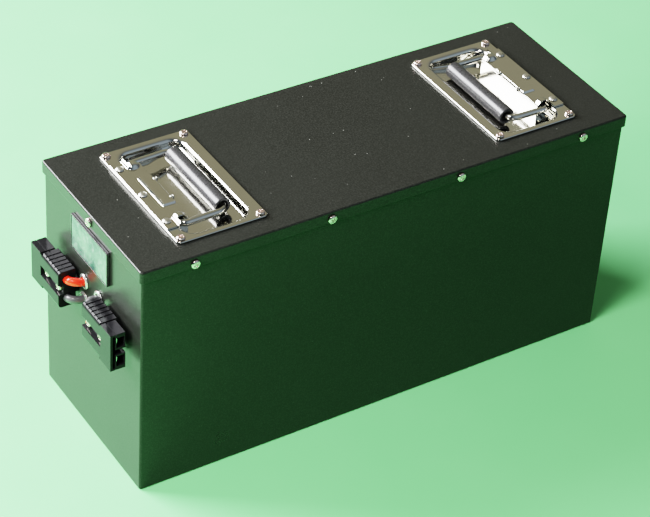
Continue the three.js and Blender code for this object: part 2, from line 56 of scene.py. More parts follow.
# ------------------------------------------------------------------ camera
cam_data = bpy.data.cameras.new("camera")
cam_data.lens = 129.65
cam_data.sensor_width = 36.0
cam_data.sensor_fit = "HORIZONTAL"
cam_data.clip_start, cam_data.clip_end = 0.05, 60.0
cam = bpy.data.objects.new("camera", cam_data)
scene.collection.objects.link(cam)
right = Vector((0.84724739, -0.52816126, 0.05672338))
up = Vector((0.28452876, 0.54139443, 0.79116083))
back = Vector((-0.44857023, -0.65416952, 0.60897208))
m = Matrix((right, up, back)).transposed().to_4x4()
m.translation = Vector((-0.91247, -1.31860, 1.33095))
cam.matrix_world = m
scene.camera = cam

# --------------------------------------------------------------- materials


def new_mat(name):
    mat = bpy.data.materials.new(name)
    mat.use_nodes = True
    nt = mat.node_tree
    nt.nodes.clear()
    out = nt.nodes.new("ShaderNodeOutputMaterial")
    b = nt.nodes.new("ShaderNodeBsdfPrincipled")
    nt.links.new(b.outputs[0], out.inputs[0])
    return mat, nt, b


def coords(nt, scale=(1, 1, 1)):
    tc = nt.nodes.new("ShaderNodeTexCoord")
    mp = nt.nodes.new("ShaderNodeMapping")
    mp.inputs["Scale"].default_value = scale
    nt.links.new(tc.outputs["Object"], mp.inputs["Vector"])
    return mp.outputs["Vector"]


def noise(nt, vec, scale, detail=3.0, rough=0.5):
    n = nt.nodes.new("ShaderNodeTexNoise")
    n.inputs["Scale"].default_value = scale
    n.inputs["Detail"].default_value = detail
    n.inputs["Roughness"].default_value = rough
    nt.links.new(vec, n.inputs["Vector"])
    return n.outputs["Fac"]


def ramp(nt, fac, stops):
    r = nt.nodes.new("ShaderNodeValToRGB")
    els = r.color_ramp.elements
    while len(els) < len(stops):
        els.new(0.5)
    for e, (p, c) in zip(els, stops):
        e.position = p
        e.color = (c, c, c, 1) if isinstance(c, (int, float)) else (*c, 1)
    nt.links.new(fac, r.inputs[0])
    return r.outputs[0]


def remap(nt, fac, lo, hi, a=0.0, b=1.0):
    r = nt.nodes.new("ShaderNodeMapRange")
    r.inputs["From Min"].default_value = a
    r.inputs["From Max"].default_value = b
    r.inputs["To Min"].default_value = lo
    r.inputs["To Max"].default_value = hi
    nt.links.new(fac, r.inputs["Value"])
    return r.outputs[0]


def mix(nt, fac, a, b):
    x = nt.nodes.new("ShaderNodeMix")
    x.data_type = "RGBA"
    nt.links.new(fac, x.inputs["Factor"])
    for sock, v in ((x.inputs[6], a), (x.inputs[7], b)):
        if isinstance(v, tuple):
            sock.default_value = (*v, 1)
        else:
            nt.links.new(v, sock)
    return x.outputs[2]


def bump(nt, b, height, strength, dist, normal=None):
    n = nt.nodes.new("ShaderNodeBump")
    n.inputs["Strength"].default_value = strength
    n.inputs["Distance"].default_value = dist
    nt.links.new(height, n.inputs["Height"])
    if normal is not None:
        nt.links.new(normal, n.inputs["Normal"])
    if b is not None:
        nt.links.new(n.outputs[0], b.inputs["Normal"])
    return n.outputs[0]


def simple(name, c0, c1, rough, metal=0.0, scale=60.0, rvar=0.06, bstr=0.1, bdist=0.0001,
           bscale=900.0, ior=1.5, spec=0.5, coat=0.0, coat_rough=0.05, stretch=(1, 1, 1)):
    mat, nt, b = new_mat(name)
    v = coords(nt, stretch)
    n = noise(nt, v, scale)
    nt.links.new(mix(nt, n, c0, c1), b.inputs["Base Color"])
    nt.links.new(remap(nt, n, rough - rvar, rough + rvar, 0.3, 0.7), b.inputs["Roughness"])
    b.inputs["Metallic"].default_value = metal
    b.inputs["IOR"].default_value = ior
    b.inputs["Specular IOR Level"].default_value = spec
    b.inputs["Coat Weight"].default_value = coat
    b.inputs["Coat Roughness"].default_value = coat_rough
    if bstr:
        bump(nt, b, noise(nt, v, bscale, 2.0), bstr, bdist)
    return mat


def powder(name, dust):
    """Satin black powder coat: fine orange peel, slight sheen variation, sparse dust."""
    mat, nt, b = new_mat(name)
    v = coords(nt)
    big = noise(nt, v, 9.0, 4.0)
    fine = noise(nt, v, 780.0, 2.0, 0.7)
    base = mix(nt, big, (0.0094, 0.0104, 0.0092), (0.0126, 0.0137, 0.0123))
    vor = nt.nodes.new("ShaderNodeTexVoronoi")
    vor.inputs["Scale"].default_value = 120.0
    nt.links.new(v, vor.inputs["Vector"])
    dot = remap(nt, vor.outputs["Distance"], 1.0, 0.0, 0.028, 0.062)
    wn = nt.nodes.new("ShaderNodeTexWhiteNoise")
    nt.links.new(vor.outputs["Position"], wn.inputs["Vector"])
    pick = nt.nodes.new("ShaderNodeMath")
    pick.operation = "GREATER_THAN"
    pick.inputs[1].default_value = 1.0 - dust
    nt.links.new(wn.outputs["Value"], pick.inputs[0])
    geo = nt.nodes.new("ShaderNodeNewGeometry")
    sep = nt.nodes.new("ShaderNodeSeparateXYZ")
    nt.links.new(geo.outputs["Normal"], sep.inputs[0])
    flat = remap(nt, sep.outputs["Z"], 0.12, 1.0, 0.6, 0.95)
    sp = nt.nodes.new("ShaderNodeMath")
    sp.operation = "MULTIPLY"
    nt.links.new(dot, sp.inputs[0])
    nt.links.new(pick.outputs[0], sp.inputs[1])
    sp2 = nt.nodes.new("ShaderNodeMath")
    sp2.operation = "MULTIPLY"
    nt.links.new(sp.outputs[0], sp2.inputs[0])
    nt.links.new(flat, sp2.inputs[1])
    sp3 = nt.nodes.new("ShaderNodeMath")
    sp3.operation = "MULTIPLY"
    sp3.inputs[1].default_value = 0.50
    nt.links.new(sp2.outputs[0], sp3.inputs[0])
    grain = ramp(nt, fine, [(0.42, 0.0), (0.70, 1.0)])
    g2 = nt.nodes.new("ShaderNodeMath")
    g2.operation = "MULTIPLY"
    g2.inputs[1].default_value = 0.040
    nt.links.new(grain, g2.inputs[0])
    base = mix(nt, g2.outputs[0], base, (0.32, 0.33, 0.30))
    nt.links.new(mix(nt, sp3.outputs[0], base, (0.55, 0.56, 0.52)), b.inputs["Base Color"])
    nt.links.new(remap(nt, big, 0.27, 0.33, 0.3, 0.7), b.inputs["Roughness"])
    b.inputs["IOR"].default_value = 1.385
    bump(nt, b, noise(nt, v, 1100.0, 1.0), 0.10, 0.00008)
    return mat


def chrome(name, col, rough, wave=0.08, scratch=0.03):
    """Bright plated steel with slight waviness and fine handling scratches."""
    mat, nt, b = new_mat(name)
    v = coords(nt)
    n = noise(nt, v, 70.0, 4.0)
    dark = tuple(c * 0.93 for c in col)
    nt.links.new(mix(nt, n, dark, col), b.inputs["Base Color"])
    vs = coords(nt, (1.0, 0.06, 1.0))
    s = noise(nt, vs, 2600.0, 3.0)
    r = nt.nodes.new("ShaderNodeMath")
    r.operation = "MULTIPLY_ADD"
    r.inputs[1].default_value = scratch
    nt.links.new(s, r.inputs[0])
    nt.links.new(remap(nt, n, rough * 0.7, rough * 1.3, 0.3, 0.7), r.inputs[2])
    nt.links.new(r.outputs[0], b.inputs["Roughness"])
    b.inputs["Metallic"].default_value = 1.0
    h = noise(nt, v, 110.0, 1.0)
    nrm = bump(nt, None, h, wave, 0.00006)
    bump(nt, b, s, 0.005, 0.00001, nrm)
    return mat


M = {
    "powder_coat": powder("powder_coat_black", 0.34),
    "plated_steel": chrome("plated_steel_bright", (0.70, 0.69, 0.64), 0.095),
    "rivet_steel": chrome("rivet_satin_steel", (0.70, 0.685, 0.62), 0.30, wave=0.2),
    "zinc_screw": chrome("zinc_screw_head", (0.92, 0.77, 0.73), 0.21, wave=0.15),
    "spring_wire": chrome("spring_wire_steel", (0.55, 0.55, 0.55), 0.22),
    "grip_vinyl": simple("grip_dark_vinyl", (0.010, 0.010, 0.011), (0.044, 0.044, 0.046), 0.30, scale=1100.0,
                         rvar=0.08, bstr=0.32, bdist=0.00010, bscale=1500.0, spec=0.5, stretch=(1, 0.5, 1)),
    "connector_plastic": simple("connector_black_nylon", (0.008, 0.008, 0.009), (0.014, 0.014, 0.015), 0.13,
                                scale=130.0, rvar=0.04, bstr=0.08, bscale=700.0, ior=1.20),
    "contact_silver": chrome("contact_silver_plate", (0.86, 0.85, 0.82), 0.2, wave=0.15),
    "red_insulation": simple("lead_red_silicone", (0.80, 0.022, 0.010), (0.88, 0.036, 0.016), 0.24, scale=90.0,
                             rvar=0.04, bstr=0.06, bscale=500.0, coat=0.4, coat_rough=0.12),
    "black_insulation": simple("lead_black_silicone", (0.045, 0.045, 0.048), (0.070, 0.070, 0.074), 0.30, scale=90.0,
                               rvar=0.05, bstr=0.06, bscale=500.0, spec=0.7),
    "grommet": simple("grommet_nickel_ring", (0.56, 0.56, 0.55), (0.68, 0.68, 0.66), 0.20, metal=0.85, scale=160.0,
                      rvar=0.05, bstr=0.05, bscale=600.0),
    "meter_plastic": simple("meter_bezel_black", (0.018, 0.017, 0.019), (0.030, 0.028, 0.031), 0.22, scale=120.0,
                            rvar=0.04, bstr=0.05, bscale=900.0, spec=0.7),
    "lcd_glass": None,
    "cell_wrap": simple("cell_wrap_blue", (0.035, 0.12, 0.36), (0.055, 0.17, 0.46), 0.32, scale=30.0,
                        rvar=0.08, bstr=0.2, bdist=0.0004, bscale=120.0),
    "board_cover": simple("board_cover_black", (0.022, 0.026, 0.030), (0.034, 0.040, 0.046), 0.45, scale=200.0,
                          rvar=0.08, bstr=0.2, bdist=0.0002, bscale=800.0),
}


def lcd():
    """Reflective display pane: pale grey-green film with cloudy darker patches under clear gloss."""
    mat, nt, b = new_mat("display_pane")
    v = coords(nt)
    n = noise(nt, v, 55.0, 5.0, 0.6)
    n2 = noise(nt, v, 190.0, 3.0, 0.6)
    c = mix(nt, ramp(nt, n, [(0.38, 0.0), (0.62, 1.0)]), (0.030, 0.060, 0.054), (0.080, 0.160, 0.105))
    c = mix(nt, ramp(nt, n2, [(0.50, 0.0), (0.75, 0.6)]), c, (0.20, 0.26, 0.23))
    nt.links.new(c, b.inputs["Base Color"])
    nt.links.new(remap(nt, n2, 0.10, 0.22, 0.3, 0.7), b.inputs["Roughness"])
    b.inputs["IOR"].default_value = 1.35
    b.inputs["Coat Weight"].default_value = 0.3
    b.inputs["Coat Roughness"].default_value = 0.04
    bump(nt, b, n2, 0.12, 0.0002)
    return mat


M["lcd_glass"] = lcd()

# ------------------------------------------------------------ mesh helpers


class Build:
    def __init__(self):
        self.v, self.f = [], []

    def ring(self, pts):
        i = len(self.v)
        self.v += [tuple(p) for p in pts]
        return list(range(i, i + len(pts)))

    def bridge(self, a, b, closed=True):
        n = len(a)
        for i in range(n if closed else n - 1):
            j = (i + 1) % n
            self.f.append((a[i], a[j], b[j], b[i]))

    def loft(self, rings, cap0=True, cap1=True, loop=False):
        ids = [self.ring(r) for r in rings]
        for a, b in zip(ids, ids[1:]):
            self.bridge(a, b)
        if loop:
            self.bridge(ids[-1], ids[0])
        else:
            if cap0:
                self.f.append(tuple(reversed(ids[0])))
            if cap1:
                self.f.append(tuple(ids[-1]))
        return ids

    def mesh(self, name):
        me = bpy.data.meshes.new(name)
        me.from_pydata([(x * MM, y * MM, z * MM) for x, y, z in self.v], [], self.f)
        tidy(me)
        return me


def tidy(me, merge=1e-6):
    bm = bmesh.new()
    bm.from_mesh(me)
    bmesh.ops.remove_doubles(bm, verts=bm.verts, dist=merge)
    bmesh.ops.dissolve_degenerate(bm, dist=1e-7, edges=bm.edges)
    bmesh.ops.recalc_face_normals(bm, faces=bm.faces)
    bm.to_mesh(me)
    bm.free()
    me.update()


def obj(name, me, link=True):
    o = bpy.data.objects.new(name, me)
    if link:
        scene.collection.objects.link(o)
    return o


def bake(o):
    dg = bpy.context.evaluated_depsgraph_get()
    dg.update()
    me = bpy.data.meshes.new_from_object(o.evaluated_get(dg))
    o.modifiers.clear()
    o.data = me
    return me


def boolean(me, ops):
    """ops: list of (operation, mesh); returns the resulting mesh."""
    o = obj("work", me)
    tools = []
    for op, t in ops:
        c = obj("tool", t)
        tools.append(c)
        mod = o.modifiers.new("b", "BOOLEAN")
        mod.operation = op
        mod.solver = "EXACT"
        mod.object = c
    out = bake(o)
    for c in [*tools, o]:
        bpy.data.objects.remove(c)
    tidy(out)
    return out


def bevel(me, width, segments=2, angle=30):
    o = obj("work", me)
    mod = o.modifiers.new("b", "BEVEL")
    mod.width = width * MM
    mod.segments = segments
    mod.limit_method = "ANGLE"
    mod.angle_limit = rad(angle)
    mod.use_clamp_overlap = True
    mod.harden_normals = False
    out = bake(o)
    bpy.data.objects.remove(o)
    return out


def smooth(me, angle=35):
    me.shade_smooth()
    me.set_sharp_from_angle(angle=rad(angle))
    o = obj("work", me)
    mod = o.modifiers.new("w", "WEIGHTED_NORMAL")
    mod.mode = "FACE_AREA"
    mod.weight = 60
    mod.keep_sharp = True
    out = bake(o)
    bpy.data.objects.remove(o)
    return out


def rrect(x0, x1, y0, y1, r, z, n=8):
    r = max(r, 0.02)
    pts = []
    for cx, cy, t0 in ((x1 - r, y0 + r, -90), (x1 - r, y1 - r, 0), (x0 + r, y1 - r, 90), (x0 + r, y0 + r, 180)):
        for k in range(n + 1):
            t = rad(t0 + 90 * k / n)
            pts.append((cx + r * cos(t), cy + r * sin(t), z))
    return pts


def block(x0, x1, y0, y1, z0, z1):
    b = Build()
    b.loft([[(x0, y0, z0), (x1, y0, z0), (x1, y1, z0), (x0, y1, z0)],
            [(x0, y0, z1), (x1, y0, z1), (x1, y1, z1), (x0, y1, z1)]])
    return b.mesh("block")


def cyl(axis, r, c0, c1, p, q, n=32):
    b = Build()
    rings = []
    for c in (c0, c1):
        ring = []
        for k in range(n):
            t = 2 * pi * k / n
            u, w = r * cos(t), r * sin(t)
            ring.append({"x": (c, p + u, q + w), "y": (p + u, c, q + w), "z": (p + u, q + w, c)}[axis])
        rings.append(ring)
    b.loft(rings)
    return b.mesh("cyl")


def lathe(profile, n=48, closed=False):
    """profile of (radius, height) turned about +Z; ends on the axis unless closed."""
    b = Build()
    rings = [[(r * cos(2 * pi * k / n), r * sin(2 * pi * k / n), h) for k in range(n)] for r, h in profile if r > 1e-6]
    b.loft(rings, cap0=not closed, cap1=not closed, loop=closed)
    return b


def tube(points, r, sides=24, round_ends=True):
    """Round rod through points, by parallel transport."""
    P = [Vector(p) for p in points]
    keep = [P[0]]
    for p in P[1:]:
        if (p - keep[-1]).length > 1e-4:
            keep.append(p)
    P = keep
    n = len(P)
    T = []
    for i in range(n):
        a = P[max(i - 1, 0)]
        c = P[min(i + 1, n - 1)]
        T.append((c - a).normalized())
    nrm = T[0].orthogonal().normalized()
    b = Build()
    rings = []

    def ring(c, t, nv, rr):
        s = t.cross(nv).normalized()
        return [tuple(c + (nv * cos(2 * pi * k / sides) + s * sin(2 * pi * k / sides)) * rr) for k in range(sides)]

    prev = T[0]
    for i in range(n):
        q = prev.rotation_difference(T[i])
        nrm = (q @ nrm)
        nrm = (nrm - T[i] * nrm.dot(T[i])).normalized()
        prev = T[i]
        if i == 0 and round_ends:
            e = min(0.5, r * 0.3)
            rings += [ring(P[0] + T[0] * (e * (1 - cos(rad(a)))), T[0], nrm, r - e + e * sin(rad(a))) for a in (0, 35, 65)]
            rings.append(ring(P[0] + T[0] * e, T[0], nrm, r))
        elif i == n - 1 and round_ends:
            e = min(0.5, r * 0.3)
            rings.append(ring(P[-1] - T[-1] * e, T[-1], nrm, r))
            rings += [ring(P[-1] - T[-1] * (e * (1 - cos(rad(a)))), T[-1], nrm, r - e + e * sin(rad(a))) for a in (65, 35, 0)]
        else:
            rings.append(ring(P[i], T[i], nrm, r))
    b.loft(rings)
    return b


def place(name, me, node, body="root", matrix=None, replaces=None):
    o = obj(name, me)
    if matrix is not None:
        o.matrix_world = matrix
    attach(o, body)
    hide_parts(*(replaces or [node]))
    return o


def with_mat(me, slot):
    me.materials.clear()
    me.materials.append(M[slot])
    return me


T = Matrix.Translation
R = Matrix.Rotation


def tr(x, y, z):
    return T(Vector((x * MM, y * MM, z * MM)))


# --------------------------------------------------------------- dimensions
LID_L, LID_W, TOP, SKIRT, SHEET = 470.0, 170.0, 228.0, 11.0, 1.2
BODY_L, BODY_W = 466.0, 166.0
HANDLE_X = (-151.5, 153.0)
SCREW_X = (-187.5, -62.5, 62.5, 187.5)
SCREW_Z = 221.0
PANEL = -233.0
CONN_Z = 143.7


def arc(c0, c1, r, a0, a1, n):
    return [(c0 + r * cos(rad(a0 + (a1 - a0) * k / n)), c1 + r * sin(rad(a0 + (a1 - a0) * k / n))) for k in range(n + 1)]


# --------------------------------------------------------------------- case
def case_mesh():
    hx, hy, top = BODY_L / 2, BODY_W / 2, TOP - SHEET - 0.3
    # (inset, z) once round the folded sheet's section
    path = [(1.6 - 1.6 * sin(rad(t)), 1.6 - 1.6 * cos(rad(t))) for t in (0, 18, 36, 54, 72, 90)]
    path += [(0, 3.0), (0, top - 3.0), (0, top - 1.2)]
    path += [(1.2 - 1.2 * cos(rad(t)), top - 1.2 + 1.2 * sin(rad(t))) for t in (30, 60, 90)]
    path += [(13.0, top), (13.2, top - 0.2), (13.2, top - 1.0), (13.0, top - 1.2), (1.8, top - 1.2),
             (1.2, top - 1.8), (1.2, 2.2), (1.4, 1.6), (2.0, 1.2)]
    b = Build()
    b.loft([rrect(-hx + d, hx - d, -hy + d, hy - d, max(2.0 - d, 0.5), z, 6) for d, z in path])
    me = b.mesh("case")
    ops = [("DIFFERENCE", block(PANEL - 2, PANEL + 4, -28, 28, 179.75, 207.75))]
    for y in (12.5, -12.5):
        for z in (152.5, 134.5):
            ops.append(("DIFFERENCE", cyl("x", 5.4, PANEL - 2, PANEL + 4, y, z)))
    return with_mat(smooth(boolean(me, ops), 32), "powder_coat")


place("case_shell", case_mesh(), "case_body")


def lid_mesh():
    hx, hy, z0 = LID_L / 2, LID_W / 2, TOP - SKIRT
    e = 1.6
    path = [(e - e * cos(rad(t)), TOP - e + e * sin(rad(t))) for t in (90, 75, 60, 45, 30, 15, 0)]
    path += [(0, TOP - e - 1.0), (0, z0 + 1.0), (0, z0 + 0.35), (0.1, z0 + 0.1), (0.35, z0), (0.85, z0),
             (1.1, z0 + 0.1), (1.2, z0 + 0.35), (1.2, TOP - 1.8), (1.35, TOP - 1.35), (1.8, TOP - 1.2)]
    b = Build()
    b.loft([rrect(-hx + d, hx - d, -hy + d, hy - d, max(3.0 - d, 0.6), z, 8) for d, z in path])
    me = b.mesh("lid")
    ops = []
    for i, hx0 in enumerate(HANDLE_X):
        s = -1 if i else 1
        a = sorted((hx0 + s * -30.1, hx0 + s * 32.1))
        c = Build()
        c.loft([rrect(a[0], a[1], -61.6, 61.6, 8, TOP - 4), rrect(a[0], a[1], -61.6, 61.6, 8, TOP + 4)])
        ops.append(("DIFFERENCE", c.mesh("cut")))
    return with_mat(smooth(boolean(me, ops), 32), "powder_coat")


place("lid_shell", lid_mesh(), "lid")


# -------------------------------------------------------------------- screws
def screw_mesh(Rh, H, shank, length, name):
    """Pan head with a cross recess, standing on z = 0, shank down -Z."""
    n = 64
    radii = [0.12, 0.3, 0.5, 0.65, 0.8, 0.95, 1.15, 1.4, 1.65, 1.85, 2.0, 2.15, 2.35, 2.6, 2.9]
    radii = [r * Rh / 4.0 for r in radii]
    dome = lambda r: H * (0.40 + 0.60 * max(0.0, 1 - (r / Rh) ** 3.2) ** 0.5)
    for t in (0.82, 0.88, 0.93, 0.965, 0.987, 1.0):
        radii.append(Rh * t)
    b = Build()
    L, W, D = 2.15 * Rh / 4, 0.50 * Rh / 4, 1.25 * Rh / 4

    def z(x, y, r):
        h = dome(r)
        d = 0.0
        for p, q in ((abs(x), abs(y)), (abs(y), abs(x))):
            w = W * (1 - 0.25 * p / L)
            k = min(1.0, max(0.0, (w - q) / 0.16 + 0.5)) * min(1.0, max(0.0, (L - p) / 0.30 + 0.3))
            d = max(d, k * (D * (1.0 - 0.35 * p / L)))
        return h - d

    rings = []
    for r in radii:
        rings.append([(r * cos(2 * pi * k / n), r * sin(2 * pi * k / n),
                       z(r * cos(2 * pi * k / n), r * sin(2 * pi * k / n), r)) for k in range(n)])
    rings.append([(Rh * cos(2 * pi * k / n), Rh * sin(2 * pi * k / n), 0.18) for k in range(n)])
    rings.append([((Rh - 0.18) * cos(2 * pi * k / n), (Rh - 0.18) * sin(2 * pi * k / n), 0.0) for k in range(n)])
    for r, h in ((shank, 0.0), (shank, -length + shank), (shank * 0.35, -length)):
        rings.append([(r * cos(2 * pi * k / n), r * sin(2 * pi * k / n), h) for k in range(n)])
    b.loft(rings)
    return with_mat(smooth(b.mesh(name), 40), "zinc_screw")


lid_screw = screw_mesh(4.0, 2.4, 1.95, 9.0, "lid_screw_mesh")
plate_screw = screw_mesh(3.7, 2.2, 1.95, 13.5, "plate_screw_mesh")
conn_screw = screw_mesh(3.9, 2.3, 1.95, 21.0, "connector_screw_mesh")
turns = [0.35, 1.2, 0.8, 1.5, 0.1, 0.6, 1.0, 0.25, 0.7, 1.35, 0.5, 1.1, 0.9, 0.15, 1.45, 0.4, 1.25, 0.65, 0.3, 1.05]
half = LID_W / 2 + 0.3
for i, x in enumerate(SCREW_X):
    place(f"lid_screw_front_{i + 1}_head", lid_screw, f"lid_screw_front_{i + 1}",
          matrix=tr(x, -half, SCREW_Z) @ R(pi / 2, 4, "X") @ R(turns[i], 4, "Z"))
    place(f"lid_screw_rear_{i + 1}_head", lid_screw, f"lid_screw_rear_{i + 1}",
          matrix=tr(x, half, SCREW_Z) @ R(-pi / 2, 4, "X") @ R(turns[i + 4], 4, "Z"))
place("lid_screw_left_end_head", lid_screw, "lid_screw_left_end",
      matrix=tr(-LID_L / 2 - 0.3, 0, SCREW_Z) @ R(-pi / 2, 4, "Y") @ R(0.5, 4, "Z"))
place("lid_screw_right_end_head", lid_screw, "lid_screw_right_end",
      matrix=tr(LID_L / 2 + 0.3, 0, SCREW_Z) @ R(pi / 2, 4, "Y") @ R(0.9, 4, "Z"))


# ------------------------------------------------------------------- handles
A0, A1, RB, RR = -28.0, 30.0, 59.5, 8.0
PIV_A, PIV_Z, GRIP_A, GRIP_Z = -24.5, 229.0, 13.6, 230.0
FLOOR_Z, RAMP_A, RAMP = 219.3, -1.5, 0.132


def dish_mesh():
    """Pressed dish: rolled opening, rounded flange edge, a floor that rises under the grip, pivot shelf."""
    fil, fl, wide = 4.2, FLOOR_Z, 4.0
    roll = wide

    def rec(o, z):
        return rrect(A0 - o, A1 - 1.6 + o, -RB - o, RB + o, RR + 2 + o, z, 12)

    lip = 230 - fil - 0.2
    steps = (8, 16, 24, 32, 40, 48, 56, 64, 72, 80, 90)
    rings = [rec(-wide, fl)]
    rings += [rec(-wide + wide * sin(rad(t)), fl + (lip - fl) * (1 - cos(rad(t)))) for t in steps]
    rings += [rec(fil * (1 - cos(rad(t))), 230 - fil + fil * sin(rad(t))) for t in (0, 15, 30, 45, 60, 75, 90)]
    rings += [rec(fil + 0.4, 230.0)]

    def plate(i, z):
        return rrect(-41 + i, 41 - i, -67 + i, 67 - i, 4 - i, z, 12)

    e = 0.9
    rings += [plate(e + 0.4, 230.0)]
    rings += [plate(e - e * sin(rad(t)), 230 - e * (1 - cos(rad(t)))) for t in (0, 15, 30, 45, 60, 75, 90)]
    rings += [plate(0.0, 228.6), plate(0.3, 228.3)]
    rings += [rec(2.4, 228.3), rec(1.7, 228.0), rec(1.5, 227.5)]
    ro = wide + 1.5
    rings += [rec(1.5 - ro + ro * sin(rad(t)), fl - 1.5 + (lip - fl + 0.4) * (1 - cos(rad(t)))) for t in reversed((0,) + steps)]
    b = Build()
    b.loft(rings)
    me = b.mesh("dish")
    bm = bmesh.new()
    bm.from_mesh(me)
    for a in [-4.5 + 0.5 * k for k in range(13)] + [8, 15, 20, 25, 27, 28.5]:
        bmesh.ops.bisect_plane(bm, geom=bm.verts[:] + bm.edges[:] + bm.faces[:], plane_co=(a * MM, 0, 0),
                               plane_no=(1, 0, 0), dist=1e-6)
    for v_ in bm.verts:
        h = v_.co.z / MM
        if h < lip - 0.01 and abs(v_.co.y) < 0.062:
            f0 = fl if h >= fl - 0.01 else fl - 1.5
            v_.co.z += ramp_lift(v_.co.x / MM) * MM * max(0.0, 1 - (h - f0) / (lip - f0))
    bm.to_mesh(me)
    bm.free()
    # shelf for the pivots, its trough open to the top
    shelf = block(A0 - 0.9, -17.5, -41.3, 41.3, 218.5, 230.0)
    shelf = bevel(shelf, 0.5, 3)
    out = boolean(me, [("UNION", shelf),
                       ("DIFFERENCE", cyl("y", 5.1, -36.8, 36.8, PIV_A, PIV_Z, 40)),
                       ("DIFFERENCE", cyl("y", 3.25, -39.5, 39.5, PIV_A, PIV_Z, 32)),
                       ("DIFFERENCE", cyl("y", 5.1, 38.8, 43.0, PIV_A, PIV_Z, 40)),
                       ("DIFFERENCE", cyl("y", 5.1, -43.0, -38.8, PIV_A, PIV_Z, 40))])
    return with_mat(smooth(out, 32), "plated_steel")


def ramp_lift(a):
    """Rise of the dish floor above its lowest level, with a soft start."""
    k = 3.0
    d = a - RAMP_A
    if d <= -k:
        return 0.0
    if d >= k:
        return RAMP * d
    return RAMP * (d + k) ** 2 / (4 * k)


def smax(x, y, k):
    h = max(k - abs(x - y), 0.0) / k
    return max(x, y) + h * h * k / 4


def sstep(x):
    x = min(1.0, max(0.0, x))
    return x * x * (3 - 2 * x)


def cover_mesh():
    """One pressing: riveted strip, two half-round hoods open at their outer ends, raised panel with two lugs."""
    def lines(*spans):
        out = []
        for lo, hi, step in spans:
            k = max(1, round((hi - lo) / step))
            out += [lo + (hi - lo) * j / k for j in range(k)]
        out.append(spans[-1][1])
        return out

    AL = lines((-40.5, -40.1, 0.2), (-40.1, -38.5, 0.8), (-38.5, -32.5, 3), (-32.5, -28.3, 0.3), (-28.3, -26.8, 0.4),
               (-26.8, -22, 0.8), (-22, -18.7, 0.5), (-18.7, -17.5, 0.15))
    BL = lines((0, 18, 6), (18, 19.6, 0.8), (19.6, 22.0, 0.2), (22, 31.5, 2.4), (31.5, 37.6, 0.35), (37.6, 40.5, 1.5),
               (40.5, 41.3, 0.2), (41.3, 41.6, 0.15), (41.6, 48.1, 2.2), (48.1, 48.5, 0.2))
    BL = [-v for v in reversed(BL[1:])] + BL
    BASE = 231.6

    def inside(a, b):
        b = abs(b)
        return (a < -28.3 and b < 48.5) or b < 41.3

    HR, HI = 6.3, 5.1

    def hood(a, b, r):
        b = abs(b)
        close = max(0.0, (37.4 - b) / (4.4 if r > 6 else 3.3))
        q = 1 - ((a - PIV_A) / r) ** 2 - close ** 2
        return PIV_Z + r * math.sqrt(q) if q > 0 else 200.0

    def top(a, b):
        ra = min(1.0, max(0.0, (a + 29.45) / 1.15))
        rb = min(1.0, max(0.0, (21.5 - abs(b)) / 1.1))
        q = min(ra, rb)
        z = BASE + 1.6 * (q * 0.7 + 0.3 * sstep(q))
        d = a + 18.6
        if d > 0 and abs(b) < 21.6:
            z -= 1.1 - math.sqrt(max(0.0, 1.21 - min(d, 1.1) ** 2))
        return smax(z, hood(a, b, HR), 0.7) if abs(b) > 31.5 else z

    def bot(a, b):
        ra = sstep((a + 28.6) / 1.2)
        rb = sstep((20.6 - abs(b)) / 1.1)
        z = BASE - 1.3 + 1.3 * ra * rb * (1 - sstep((a + 20.4) / 1.2))
        return max(z, hood(a, b, HI)) if abs(b) > 31.5 else z

    b = Build()
    na, nb = len(AL), len(BL)
    cell = [[inside((AL[i] + AL[i + 1]) / 2, (BL[j] + BL[j + 1]) / 2) for j in range(nb - 1)] for i in range(na - 1)]

    def has(i, j):
        return 0 <= i < na - 1 and 0 <= j < nb - 1 and cell[i][j]

    tid, bid = {}, {}

    def vid(i, j, upper):
        d = tid if upper else bid
        if (i, j) not in d:
            a, bb = AL[i], BL[j]
            edge = not (has(i, j) and has(i - 1, j) and has(i, j - 1) and has(i - 1, j - 1))
            z = top(a, bb) if upper else bot(a, bb)
            if edge:
                z += -0.14 if upper else 0.06
            d[(i, j)] = len(b.v)
            b.v.append((a, bb, z))
        return d[(i, j)]

    for i in range(na - 1):
        for j in range(nb - 1):
            if not cell[i][j]:
                continue
            q = ((i, j), (i + 1, j), (i + 1, j + 1), (i, j + 1))
            b.f.append(tuple(vid(*p, True) for p in q))
            b.f.append(tuple(vid(*p, False) for p in reversed(q)))
            for di, dj, p, r in ((-1, 0, q[3], q[0]), (1, 0, q[1], q[2]), (0, -1, q[0], q[1]), (0, 1, q[2], q[3])):
                if not has(i + di, j + dj):
                    b.f.append((vid(*p, False), vid(*r, False), vid(*r, True), vid(*p, True)))
    me = b.mesh("cover")
    ops = []
    for s in (-1, 1):
        lug = lathe([(0.8, 230.9), (1.7, 230.75), (2.0, 231.2), (2.0, 233.0), (1.9, 233.35), (1.65, 233.6), (1.3, 233.7),
                     (1.0, 233.6), (0.82, 233.35), (0.75, 232.9)], 32, closed=True)
        lug.v = [(x - 17.2, y + s * 13.7, z) for x, y, z in lug.v]
        lug = lug.mesh("lug")
        ops += [("DIFFERENCE", cyl("z", 1.4, 231.2, 235, -17.2, s * 13.7, 32)), ("UNION", lug)]
    return with_mat(smooth(boolean(me, ops), 45), "plated_steel")


